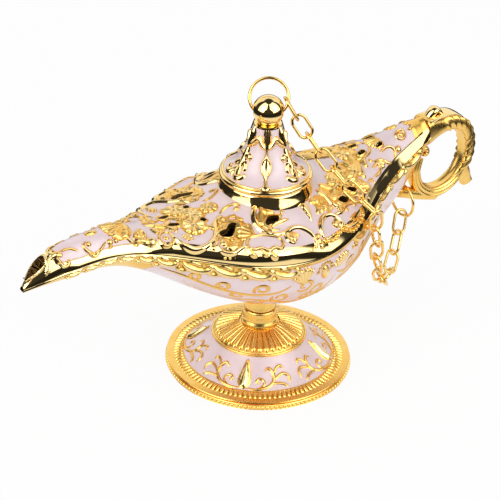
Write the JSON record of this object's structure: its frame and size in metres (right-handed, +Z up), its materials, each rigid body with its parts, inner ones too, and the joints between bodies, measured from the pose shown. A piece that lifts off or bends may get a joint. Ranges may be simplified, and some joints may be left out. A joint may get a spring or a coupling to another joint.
{
  "type": "genie oil lamp",
  "caption": "Footed genie lamp with a long upturned spout, scrolled handle, pierced cover, tent-shaped lift-off lid and a retaining chain from the lid's ring to the handle.",
  "frame": {"origin": "middle of the foot's underside, on the stem axis", "axes": "+Z up along the stem, +X from the spout towards the handle, -Y the side the chain hangs on"},
  "size_m": [0.2191, 0.074, 0.1254],
  "materials": {
    "gilt": "polished and satin gold plate",
    "enamel": "pale pearl enamel between gold relief lines",
    "steel": "plain zinc-plated"
  },
  "bodies": {
    "lamp": {"base_foot": "gilt", "base_washer": "steel", "base_screw": "steel", "bowl": "enamel", "top_cover": "enamel", "handle": "gilt"},
    "lid": {"lid": "enamel", "finial_ball": "gilt"},
    "finial_ring": {"finial_ring": "gilt"},
    "handle_ring": {"handle_ring": "gilt"},
    "link_01": {"chain_link_01": "gilt"},
    "link_02": {"chain_link_02": "gilt"},
    "link_03": {"chain_link_03": "gilt"},
    "link_04": {"chain_link_04": "gilt"},
    "link_05": {"chain_link_05": "gilt"},
    "link_06": {"chain_link_06": "gilt"},
    "link_07": {"chain_link_07": "gilt"},
    "link_08": {"chain_link_08": "gilt"},
    "link_09": {"chain_link_09": "gilt"},
    "link_10": {"chain_link_10": "gilt"},
    "link_11": {"chain_link_11": "gilt"},
    "link_12": {"chain_link_12": "gilt"},
    "link_13": {"chain_link_13": "gilt"},
    "link_14": {"chain_link_14": "gilt"},
    "link_15": {"chain_link_15": "gilt"},
    "link_16": {"chain_link_16": "gilt"},
    "link_17": {"chain_link_17": "gilt"}
  },
  "joints": [
    {"name": "lid_lift", "type": "slide", "parent": "lamp", "child": "lid", "axis": [0, 0, 1], "range_m": [0, 0.02]},
    {"name": "finial_ring_swing", "type": "hinge", "parent": "lid", "child": "finial_ring", "pos_m": [0, 0, 0.1139], "axis": [0.788, -0.6157, 0], "range_deg": [-10, 10]},
    {"name": "handle_ring_swing", "type": "hinge", "parent": "lamp", "child": "handle_ring", "pos_m": [0.0711, 0, 0.05804], "axis": [-1, 0, 0], "range_deg": [0, 6.96]},
    {"name": "link_01_turn", "type": "hinge", "parent": "lid", "child": "link_01", "pos_m": [0.0062, -0.00274, 0.1178], "axis": [0.5565, 0.8238, -0.1077], "range_deg": [0, 6.28]},
    {"name": "link_02_turn", "type": "hinge", "parent": "link_01", "child": "link_02", "pos_m": [0.00931, -0.0058, 0.11051], "axis": [0.6843, 0.727, -0.0574], "range_deg": [0, 1.51]},
    {"name": "link_03_turn", "type": "hinge", "parent": "link_02", "child": "link_03", "pos_m": [0.01261, -0.00904, 0.10338], "axis": [0.6886, 0.723, -0.0555], "range_deg": [0, 1.69]},
    {"name": "link_04_turn", "type": "hinge", "parent": "link_03", "child": "link_04", "pos_m": [0.01612, -0.01249, 0.09645], "axis": [0.6929, 0.7191, -0.0535], "range_deg": [0, 1.9]},
    {"name": "link_05_turn", "type": "hinge", "parent": "link_04", "child": "link_05", "pos_m": [0.01987, -0.01617, 0.08976], "axis": [0.6971, 0.7152, -0.0515], "range_deg": [0, 2.16]},
    {"name": "link_06_turn", "type": "hinge", "parent": "link_05", "child": "link_06", "pos_m": [0.02386, -0.02009, 0.08337], "axis": [0.7013, 0.7112, -0.0493], "range_deg": [0, 2.46]},
    {"name": "link_07_turn", "type": "hinge", "parent": "link_06", "child": "link_07", "pos_m": [0.02814, -0.02429, 0.07734], "axis": [0.7055, 0.7072, -0.047], "range_deg": [0, 2.81]},
    {"name": "link_08_turn", "type": "hinge", "parent": "link_07", "child": "link_08", "pos_m": [0.0327, -0.02877, 0.07174], "axis": [-0.8285, -0.5266, -0.1903], "range_deg": [0, 50.64]},
    {"name": "link_17_turn", "type": "hinge", "parent": "handle_ring", "child": "link_17", "pos_m": [0.0711, 0, 0.04546], "axis": [-0.443, 0.8937, 0.0714], "range_deg": [0, 23.33]},
    {"name": "link_16_turn", "type": "hinge", "parent": "link_17", "child": "link_16", "pos_m": [0.06793, -0.00237, 0.03794], "axis": [-0.6091, 0.792, 0.0404], "range_deg": [0, 9.33]},
    {"name": "link_15_turn", "type": "hinge", "parent": "link_16", "child": "link_15", "pos_m": [0.06366, -0.00557, 0.03133], "axis": [-0.5467, 0.8281, 0.1241], "range_deg": [0, 4.15]},
    {"name": "link_14_turn", "type": "hinge", "parent": "link_15", "child": "link_14", "pos_m": [0.05778, -0.00998, 0.02706], "axis": [0.6367, -0.7711, 0.0086], "range_deg": [0, 13.3]},
    {"name": "link_13_turn", "type": "hinge", "parent": "link_14", "child": "link_13", "pos_m": [0.051, -0.01506, 0.02774], "axis": [0.616, -0.7875, -0.0179], "range_deg": [0, 17.18]},
    {"name": "link_12_turn", "type": "hinge", "parent": "link_13", "child": "link_12", "pos_m": [0.04553, -0.01916, 0.0328], "axis": [0.6019, -0.798, -0.031], "range_deg": [0, 8.55]},
    {"name": "link_11_turn", "type": "hinge", "parent": "link_12", "child": "link_11", "pos_m": [0.04158, -0.02212, 0.03972], "axis": [0.5836, -0.8107, -0.0452], "range_deg": [0, 3.56]},
    {"name": "link_10_turn", "type": "hinge", "parent": "link_11", "child": "link_10", "pos_m": [0.03861, -0.02435, 0.04736], "axis": [0.5514, -0.8315, -0.0682], "range_deg": [0, 1.63]},
    {"name": "link_09_turn", "type": "hinge", "parent": "link_10", "child": "link_09", "pos_m": [0.03626, -0.0261, 0.05534], "axis": [-0.9247, -0.2895, -0.2472], "range_deg": [0, 40.92]}
  ],
  "couplings": [
    {"joint": "handle_ring_swing", "follows": "lid_lift", "rad_per_m": 5.6374},
    {"joint": "link_01_turn", "follows": "lid_lift", "rad_per_m": 5.044},
    {"joint": "link_02_turn", "follows": "lid_lift", "rad_per_m": 0.8819},
    {"joint": "link_03_turn", "follows": "lid_lift", "rad_per_m": 1.0385},
    {"joint": "link_04_turn", "follows": "lid_lift", "rad_per_m": 1.2257},
    {"joint": "link_05_turn", "follows": "lid_lift", "rad_per_m": 1.4486},
    {"joint": "link_06_turn", "follows": "lid_lift", "rad_per_m": 1.7116},
    {"joint": "link_07_turn", "follows": "lid_lift", "rad_per_m": 2.0169},
    {"joint": "link_08_turn", "follows": "lid_lift", "rad_per_m": 43.757},
    {"joint": "link_17_turn", "follows": "lid_lift", "rad_per_m": 19.922},
    {"joint": "link_16_turn", "follows": "lid_lift", "rad_per_m": 7.7037},
    {"joint": "link_15_turn", "follows": "lid_lift", "rad_per_m": 3.1819},
    {"joint": "link_14_turn", "follows": "lid_lift", "rad_per_m": 11.171},
    {"joint": "link_13_turn", "follows": "lid_lift", "rad_per_m": 14.558},
    {"joint": "link_12_turn", "follows": "lid_lift", "rad_per_m": 7.0268},
    {"joint": "link_11_turn", "follows": "lid_lift", "rad_per_m": 2.6674},
    {"joint": "link_10_turn", "follows": "lid_lift", "rad_per_m": 0.98199},
    {"joint": "link_09_turn", "follows": "lid_lift", "rad_per_m": 35.276}
  ]
}
